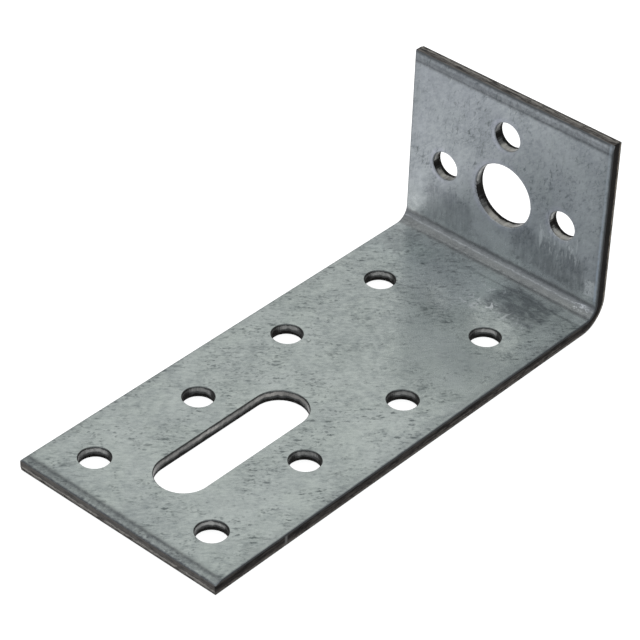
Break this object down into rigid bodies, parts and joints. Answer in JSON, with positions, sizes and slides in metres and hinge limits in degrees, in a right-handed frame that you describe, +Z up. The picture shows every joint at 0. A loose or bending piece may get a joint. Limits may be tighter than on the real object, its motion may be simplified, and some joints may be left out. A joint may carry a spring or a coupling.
{
  "type": "angle bracket",
  "caption": "Folded sheet steel angle bracket with a long flat leg, a short upright, screw holes in pairs, a long slot and a round middle hole.",
  "frame": {"origin": "under the middle of the bracket's box, on the surface that the flat leg lies on", "axes": "+X along the flat leg to its free end, +Y across the width, +Z up along the upright"},
  "size_m": [0.09, 0.04, 0.0345],
  "materials": {
    "zinc_sheet": "hot-dip zinc coated, matt with fine mottling, dark cut edges"
  },
  "bodies": {
    "root": {"bracket": "zinc_sheet"}
  },
  "joints": []
}
